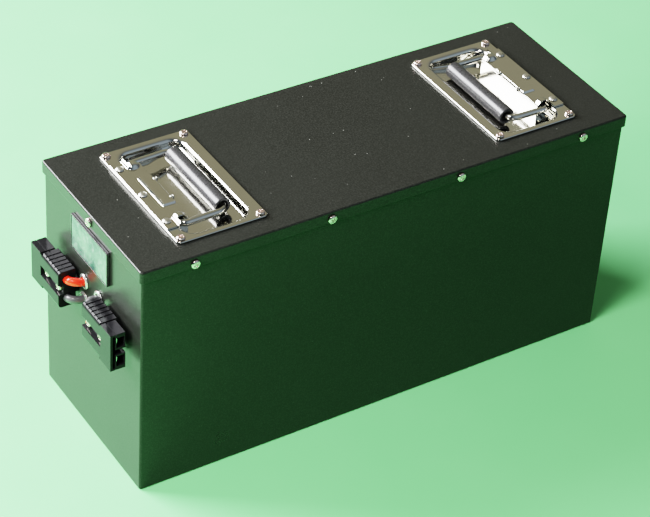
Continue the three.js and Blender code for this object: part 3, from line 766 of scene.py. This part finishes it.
def bail_mesh():
    reach = math.hypot(GRIP_A - PIV_A, GRIP_Z - PIV_Z)
    leg, pin = 45.3, 34.6
    r1, r2 = 4.6, 7.2
    pts = [(0, -pin), (0, -36), (0, -37.5), (0, -39)]
    pts += arc(r1, -(leg - r1), r1, 180, 270, 12)
    pts += [(reach * f, -leg) for f in (0.25, 0.4, 0.55, 0.7)]
    pts += arc(reach - r2, -(leg - r2), r2, 270, 360, 12)
    pts += [(reach, v) for v in (-30, -15, 0, 15, 30)]
    pts += arc(reach - r2, leg - r2, r2, 0, 90, 12)
    pts += [(reach * f, leg) for f in (0.7, 0.55, 0.4, 0.25)]
    pts += arc(r1, leg - r1, r1, 90, 180, 12)
    pts += [(0, 39), (0, 37.5), (0, 36), (0, pin)]
    ca, sa = (GRIP_A - PIV_A) / reach, (GRIP_Z - PIV_Z) / reach
    b = tube([(PIV_A + u * ca, w, PIV_Z + u * sa) for u, w in pts], 3.0, 28)
    return with_mat(smooth(b.mesh("bail"), 40), "plated_steel")


def grip_mesh():
    H, Ro, ri, rc, depth = 40.7, 7.4, 3.4, 5.2, 3.2
    half_prof = [(ri, 0), (ri, H - depth - 1.2), (rc, H - depth), (rc, H - 0.5), (rc + 0.15, H - 0.15), (rc + 0.45, H),
                 (Ro - 0.7, H), (Ro - 0.25, H - 0.15), (Ro - 0.05, H - 0.4), (Ro, H - 0.8), (Ro, H - 4), (Ro, H / 2), (Ro, 0)]
    prof = half_prof + [(r, -h) for r, h in reversed(half_prof[1:-1])]
    b = lathe(prof, 56, closed=True)
    b.v = [(GRIP_A + x, z, GRIP_Z + y) for x, y, z in b.v]
    return with_mat(smooth(b.mesh("grip"), 40), "grip_vinyl")


def spring_mesh():
    r, w = 2.1, 0.5
    pts = []
    per, nt_ = 16, 24
    for i in range(per * nt_ + 1):
        t = i / per * 2 * pi
        pts.append((PIV_A + r * cos(t), -19.35 + 38.7 * i / (per * nt_), PIV_Z + r * sin(t)))
    return with_mat(smooth(tube(pts, w, 8).mesh("spring"), 60), "spring_wire")


def rivet_mesh():
    prof = [(0.35, 1.70), (0.9, 1.66), (1.5, 1.56), (2.1, 1.38), (2.7, 1.10), (3.2, 0.76), (3.55, 0.42), (3.74, 0.18),
            (3.8, 0.04), (3.7, 0.0), (2.0, 0.0), (2.0, -3.0), (1.6, -3.2)]
    return with_mat(smooth(lathe(prof, 48).mesh("rivet"), 50), "rivet_steel")


dish_me, cover_me, bail_me, grip_me = dish_mesh(), cover_mesh(), bail_mesh(), grip_mesh()
spring_me, rivet_me = spring_mesh(), rivet_mesh()
for i, side in enumerate(("left", "right")):
    base = tr(HANDLE_X[i], 0, 0) @ (R(pi, 4, "Z") if i else Matrix.Identity(4))
    body = f"{side}_bail"
    place(f"{side}_handle_dish_pressing", dish_me, f"{side}_handle_dish", matrix=base)
    place(f"{side}_handle_cover_pressing", cover_me, f"{side}_handle_cover", matrix=base)
    place(f"{side}_handle_bail_rod", bail_me, f"{side}_handle_bail", body, matrix=base)
    place(f"{side}_handle_grip_sleeve", grip_me, f"{side}_handle_grip", body, matrix=base)
    place(f"{side}_handle_spring_coil", spring_me, f"{side}_handle_spring", matrix=base)
    for k, bb in enumerate((-39, 0, 39)):
        place(f"{side}_handle_rivet_{k + 1}_head", rivet_me, f"{side}_handle_rivet_{k + 1}",
              matrix=base @ tr(-36, bb, 231.9))
    k = 0
    for sa in (-1, 1):
        for sb in (-1, 1):
            k += 1
            place(f"{side}_handle_screw_{k}_head", plate_screw, f"{side}_handle_screw_{k}",
                  matrix=base @ tr(sa * 36, sb * 62, 230.3) @ R(turns[k + 4 * i + 7], 4, "Z"))


# ---------------------------------------------------------------- connectors
# Built as (u, l, w): out from the panel, from the mating end, height; the left
# one's l runs towards -Y, the right one is the same part turned about X.
def rounded_bar(u0, u1, h, r, l0, l1, n=8):
    b = Build()

    def sec(l, i):
        pts = []
        for cu, cw, t0, rr in ((u1 - r, h - r, 0, r), (u0 + 0.8, h - 0.8, 90, 0.8), (u0 + 0.8, -h + 0.8, 180, 0.8),
                               (u1 - r, -h + r, 270, r)):
            for k in range(n + 1):
                t = rad(t0 + 90 * k / n)
                pts.append((cu + (rr - i) * cos(t), l, cw + (rr - i) * sin(t)))
        return pts

    b.loft([sec(l0, 0.0), sec(l1 - 0.5, 0.0), sec(l1 - 0.15, 0.15), sec(l1, 0.5)])
    return b.mesh("bar")


def housing_mesh():
    Tk, F, H, L = 16.0, 17.0, 18.0, 49.0
    me = rounded_bar(0.0, Tk, H, 3.6, F + 1.0, L)
    front = bevel(block(2.5, Tk, 0, F + 2, -H, H), 0.35, 2)
    ops = [("UNION", front)]
    for k in range(5):
        y = 24 + 5 * k
        for s in (-1, 1):
            z = sorted((s * (H - 0.9), s * (H + 1)))
            ops.append(("DIFFERENCE", block(-1, Tk + 1, y, y + 1.3, *z)))
    for s in (-1, 1):
        z = sorted((s * (H - 1.4), s * (H + 1)))
        ops.append(("DIFFERENCE", block(-1, Tk + 1, F, F + 1.6, *z)))
        z = sorted((s * (H - 0.7), s * (H + 1)))
        ops.append(("DIFFERENCE", block(10.6, 11.5, -1, F - 0.2, *z)))
        ops.append(("DIFFERENCE", block(8.2, 9.2, F + 1.9, L - 3.5, *z)))
    chan = Build()
    chan.loft([[(p, l, q) for p, q in ((Tk - 4.5, -4.4), (Tk + 1, -5.2), (Tk + 1, 5.2), (Tk - 4.5, 4.4))]
               for l in (F, L + 1)])
    ops.append(("DIFFERENCE", chan.mesh("chan")))
    for w in (-9.3, 9.3):
        ops.append(("DIFFERENCE", block(3.5, 10.6, -1, F + 3, w - 5, w + 5)))
        ops.append(("DIFFERENCE", cyl("y", 4.2, F + 1, L + 1, 8.0, w, 32)))
    ops.append(("DIFFERENCE", block(11.6, 13.8, -1, F - 1.5, -H + 1.8, H - 1.8)))
    ops.append(("DIFFERENCE", block(1, 13.7, -1, F - 1.6, -2.6, 2.6)))
    for l in (23, 43):
        ops.append(("DIFFERENCE", cyl("x", 2.3, -1, Tk + 1, l, 0, 20)))
    out = boolean(me, ops)
    out = bevel(out, 0.30, 2, 35)
    return out


def to_world_left(me):
    """(u, l, w) -> world for the left connector."""
    for v in me.vertices:
        u, l, w = v.co
        v.co = (PANEL * MM - 0.004 - u, 0.0695 - l, CONN_Z * MM + w)
    tidy(me)
    return me


conn_me = with_mat(smooth(to_world_left(housing_mesh()), 32), "connector_plastic")
sp = bevel(block(-3.7, -0.3, 16, 48, -7, 7), 0.5, 3)
spacer_me = with_mat(smooth(to_world_left(sp), 35), "connector_plastic")


def contact_mesh(s):
    w = 9.3 * s
    b = Build()
    sec = lambda l, r: [(8 + r * cos(2 * pi * k / 32), l, w + r * sin(2 * pi * k / 32)) for k in range(32)]
    b.loft([sec(21, 2.9), sec(21.3, 3.4), sec(32.7, 3.5), sec(33, 3.2)])
    me = b.mesh("barrel")
    blade = Build()
    prof = [(8.9, -3.0), (9.9, -3.0), (10.2, -2.6), (10.2, 2.6), (9.9, 3.0), (8.9, 3.0), (8.7, 2.6), (8.7, -2.6)]
    rings = []
    for l, g, lift in ((3.0, 0.65, -0.25), (3.5, 0.9, -0.05), (5.0, 1.0, 0.0), (17, 1.0, 0.0), (22, 1.0, -0.3)):
        rings.append([(9.45 + (u - 9.45) * g + lift, l, w + q * (0.8 + 0.2 * g)) for u, q in prof])
    blade.loft(rings)
    out = boolean(me, [("UNION", blade.mesh("blade"))])
    return with_mat(smooth(to_world_left(out), 35), "contact_silver")


flip = T(Vector((0, 0, 2 * CONN_Z * MM))) @ R(pi, 4, "X")
red_contact, black_contact = contact_mesh(1), contact_mesh(-1)
for i, side in enumerate(("left", "right")):
    mt = flip if i else None
    place(f"{side}_connector_body", conn_me, f"{side}_connector_housing", matrix=mt)
    place(f"{side}_connector_pad", spacer_me, f"{side}_connector_spacer", matrix=mt)
    place(f"{side}_connector_red_pin", red_contact, f"{side}_connector_red_contact", matrix=mt)
    place(f"{side}_connector_black_pin", black_contact, f"{side}_connector_black_contact", matrix=mt)
    s = -1 if i else 1
    for k, l in enumerate((23, 43)):
        place(f"{side}_connector_screw_{k + 1}_head", conn_screw, f"{side}_connector_screw_{k + 1}",
              matrix=tr(PANEL - 4 - 11.8, s * (69.5 - l), CONN_Z) @ R(-pi / 2, 4, "Y") @ R(turns[k + 2 * i], 4, "Z"))


# ------------------------------------------------------- leads and grommets
def bez(p0, p1, p2, p3, n):
    out = []
    for i in range(n + 1):
        t = i / n
        out.append(tuple(((1 - t) ** 3) * a + 3 * ((1 - t) ** 2) * t * b + 3 * (1 - t) * t * t * c + t ** 3 * d
                         for a, b, c, d in zip(p0, p1, p2, p3)))
    return out


def lead_mesh(front_y, s, w, gz, slot):
    rear = front_y - s * 49.0
    gy = s * 12.5
    z = CONN_Z + w
    x0 = PANEL - 12.0
    pts = [(x0, rear + s * 15, z), (x0, rear + s * 8, z), (x0, rear + s * 3, z)]
    bow = 2.4 if (s < 0 and w < 0) else 6.5
    pts += bez((x0, rear - s * 0.3, z), (x0, rear - s * bow, z + 2.2), (PANEL - 8.5, gy + s * 0.2, gz + 1.2),
               (PANEL - 2.6, gy, gz), 36)
    pts += [(PANEL + 4, gy, gz), (PANEL + 15, gy, gz), (-206.3, gy, gz)]
    return with_mat(smooth(tube(pts, 3.5, 32).mesh("lead"), 40), slot)


for i, side in enumerate(("left", "right")):
    s = -1 if i else 1
    fy = 69.5 * s
    hi, lo = 152.5, 134.5
    place(f"{side}_red_lead_wire", lead_mesh(fy, s, 9.3 * s, lo if i else hi, "red_insulation"), f"{side}_red_lead")
    place(f"{side}_black_lead_wire", lead_mesh(fy, s, -9.3 * s, hi if i else lo, "black_insulation"),
          f"{side}_black_lead")

prof = [(4.05, 1.5), (4.05, -3.0), (6.2, -3.0), (6.2, -1.5), (4.9, -1.5), (4.9, 0.3), (6.55, 0.3), (6.72, 0.4),
        (6.8, 0.62), (6.74, 0.95), (6.5, 1.35), (6.1, 1.68), (5.6, 1.90), (5.1, 2.0), (4.6, 1.94), (4.25, 1.78)]
ring_me = with_mat(smooth(lathe(prof, 56, closed=True).mesh("grommet_ring"), 40), "grommet")
for nm, s, z in (("left_red", 1, 152.5), ("left_black", 1, 134.5), ("right_red", -1, 134.5), ("right_black", -1, 152.5)):
    place(f"{nm}_grommet_ring", ring_me, f"{nm}_grommet",
          matrix=tr(PANEL, s * 12.5, z) @ R(-pi / 2, 4, "Y"))


# --------------------------------------------------------------- panel meter
def frame_ring(hy, hz, r, x, cy=0.0, cz=193.75, n=6):
    return [(x, cy + p, cz + q) for p, q, _ in rrect(-hy, hy, -hz, hz, r, 0, n)]


def bezel_mesh():
    x1 = PANEL - 0.3
    x0 = x1 - 2.8
    hy, hz = 31.0, 16.75
    rings = [frame_ring(29.6, 15.35, 0.5, x0 + 1.9), frame_ring(29.6, 15.35, 0.5, x0 + 0.5),
             frame_ring(29.68, 15.43, 0.55, x0 + 0.14), frame_ring(29.85, 15.6, 0.7, x0),
             frame_ring(hy - 0.5, hz - 0.5, 0.9, x0), frame_ring(hy - 0.18, hz - 0.18, 1.1, x0 + 0.12),
             frame_ring(hy, hz, 1.3, x0 + 0.5), frame_ring(hy, hz, 1.3, x1 - 0.2), frame_ring(hy - 0.2, hz - 0.2, 1.1, x1),
             frame_ring(27.7, 13.7, 0.6, x1), frame_ring(27.7, 13.7, 0.6, PANEL + 10.5), frame_ring(27.2, 13.2, 0.4, PANEL + 11)]
    b = Build()
    b.loft(rings)
    return with_mat(smooth(b.mesh("bezel"), 35), "meter_plastic")


place("meter_bezel_frame", bezel_mesh(), "meter_bezel")
xp = PANEL - 0.3 - 2.8 + 0.3
b = Build()
b.loft([frame_ring(29.2, 14.95, 0.3, xp + 1.3), frame_ring(29.3, 15.05, 0.3, xp + 1.1), frame_ring(29.3, 15.05, 0.3, xp + 0.25),
        frame_ring(29.2, 14.95, 0.3, xp + 0.07), frame_ring(28.95, 14.7, 0.3, xp)])
place("meter_window_pane", with_mat(smooth(b.mesh("pane"), 35), "lcd_glass"), "meter_window")


# -------------------------------------------------------------------- inside
def pack_mesh():
    """Shrink-wrapped block of cells: the wrap dips between the cells along its sides."""
    x0, x1, y0, y1, z0, z1 = -192.0, 226.0, -75.0, 75.0, 1.5, 203.0
    base = []
    nx, ny = 168, 60
    for k in range(nx):
        base.append((x0 + (x1 - x0) * k / nx, y0))
    for k in range(ny):
        base.append((x1, y0 + (y1 - y0) * k / ny))
    for k in range(nx):
        base.append((x1 - (x1 - x0) * k / nx, y1))
    for k in range(ny):
        base.append((x0, y1 - (y1 - y0) * k / ny))

    def ring(i, z, amp):
        pts = []
        for x, y in base:
            d = amp * abs(sin(pi * (x - x0) / 34.83)) if abs(y) > 74.9 and x0 < x < x1 else (
                amp * abs(sin(pi * (y - y0) / 30.0)) if abs(y) < 74.9 else 0.0)
            o = i + amp - d
            # keep within a rounded outline
            px, py = min(max(x, x0 + o), x1 - o), min(max(y, y0 + o), y1 - o)
            r = 6.0
            cx, cy = min(max(px, x0 + r), x1 - r), min(max(py, y0 + r), y1 - r)
            dx, dy = px - cx, py - cy
            ln = math.hypot(dx, dy)
            if ln > r - o and ln > 0:
                px, py = cx + dx / ln * (r - o), cy + dy / ln * (r - o)
            pts.append((px, py, z))
        return pts

    rings = [ring(5.0, z0, 0.0), ring(1.6, z0 + 0.9, 0.4), ring(0.4, z0 + 3.2, 1.0), ring(0.0, z0 + 8, 1.2),
             ring(0.0, z1 - 8, 1.2), ring(0.4, z1 - 3.2, 1.0), ring(1.6, z1 - 0.9, 0.4), ring(5.0, z1, 0.0)]
    b = Build()
    b.loft(rings)
    return with_mat(smooth(b.mesh("pack"), 40), "cell_wrap")


place("cell_pack_wrap", pack_mesh(), "cell_pack")


def board_mesh():
    """Protection board's cover: a finned plate on a rounded base."""
    x0, x1, y0, y1, z0, z1 = -206.0, -192.3, -46.0, 46.0, 100.0, 188.0
    base = bevel(block(x0 + 4.5, x1, y0, y1, z0, z1), 1.2, 3)
    ops = []
    for k in range(9):
        y = y0 + 5 + k * 10.0
        ops.append(("UNION", bevel(block(x0, x0 + 6.0, y, y + 2.0, z0 + 4, z1 - 4), 0.4, 2)))
    out = boolean(base, ops)
    return with_mat(smooth(out, 35), "board_cover")


place("bms_board_cover", board_mesh(), "bms_board")

# -------------------------------------------- materials on the hidden CAD nodes
slot_of = {s["node"]: s["material_slot"] for s in frame["record"]["subparts"] if "material_slot" in s}
for n, o in frame["nodes"].items():
    mat = M.get(slot_of.get(n, ""), M["powder_coat"])
    if o.material_slots:
        for ms in o.material_slots:
            ms.material = mat
    else:
        o.data.materials.append(mat)

# -------------------------------------------------------------------- studio
floor_me = bpy.data.meshes.new("floor")
S = 6.0
floor_me.from_pydata([(-S, -S, 0), (S, -S, 0), (S, S, 0), (-S, S, 0)], [], [(0, 1, 2, 3)])
floor = obj("floor", floor_me)
fm, nt, b = new_mat("floor_pale_green")
v = coords(nt)
n = noise(nt, v, 5.0, 5.0, 0.6)
nt.links.new(mix(nt, n, (0.165, 0.600, 0.212), (0.200, 0.630, 0.246)), b.inputs["Base Color"])
nt.links.new(remap(nt, n, 0.50, 0.60, 0.3, 0.7), b.inputs["Roughness"])
floor_me.materials.append(fm)


def area(name, pos, target, size, power, color=(1, 1, 1), size_y=None):
    ld = bpy.data.lights.new(name, "AREA")
    ld.shape = "RECTANGLE" if size_y else "SQUARE"
    ld.size = size
    if size_y:
        ld.size_y = size_y
    ld.energy = power
    ld.color = color
    lo_ = bpy.data.objects.new(name, ld)
    scene.collection.objects.link(lo_)
    lo_.location = pos
    lo_.rotation_mode = "QUATERNION"
    lo_.rotation_quaternion = (Vector(target) - Vector(pos)).to_track_quat("-Z", "Y")
    return lo_


key_dir = Vector((-0.47, -0.24, 0.85)).normalized()
area("key", key_dir * 2.0, (0, 0, 0.1), 0.48, 14.0, (1.0, 0.975, 0.95))
side = area("side", (-1.70, -0.42, 1.05), (0.1, -0.25, 0.0), 0.7, 72.0, (1.0, 0.985, 0.96))
side.visible_glossy = False
win_dir = Vector((-0.52, 0.62, 0.56)).normalized()
area("window", win_dir * 2.4, (0, 0, 0.2), 1.5, 200.0, (0.97, 0.98, 1.0), 1.1)

world = bpy.data.worlds.new("studio")
scene.world = world
world.use_nodes = True
nt = world.node_tree
nt.nodes.clear()
out = nt.nodes.new("ShaderNodeOutputWorld")
bg = nt.nodes.new("ShaderNodeBackground")
nt.links.new(bg.outputs[0], out.inputs[0])
tc = nt.nodes.new("ShaderNodeTexCoord")
dot = nt.nodes.new("ShaderNodeVectorMath")
dot.operation = "DOT_PRODUCT"
dot.inputs[1].default_value = Vector((0.30, 0.75, 0.59)).normalized()
nt.links.new(tc.outputs["Generated"], dot.inputs[0])
col = ramp(nt, remap(nt, dot.outputs["Value"], 0.0, 1.0, -0.4, 1.0),
           [(0.0, (0.035, 0.045, 0.060)), (0.50, (0.075, 0.090, 0.110)), (0.80, (0.22, 0.22, 0.19)), (1.0, (0.31, 0.295, 0.215))])
front = nt.nodes.new("ShaderNodeVectorMath")
front.operation = "DOT_PRODUCT"
front.inputs[1].default_value = Vector((0.38, -0.78, 0.50)).normalized()
nt.links.new(tc.outputs["Generated"], front.inputs[0])
col = mix(nt, remap(nt, front.outputs["Value"], 0.0, 1.0, 0.70, 0.97), col, (0.30, 0.36, 0.42))
nt.links.new(col, bg.inputs["Color"])
bg.inputs["Strength"].default_value = 1.0

scene.view_settings.view_transform = "Filmic"
scene.view_settings.look = "High Contrast"
scene.view_settings.exposure = 0.0
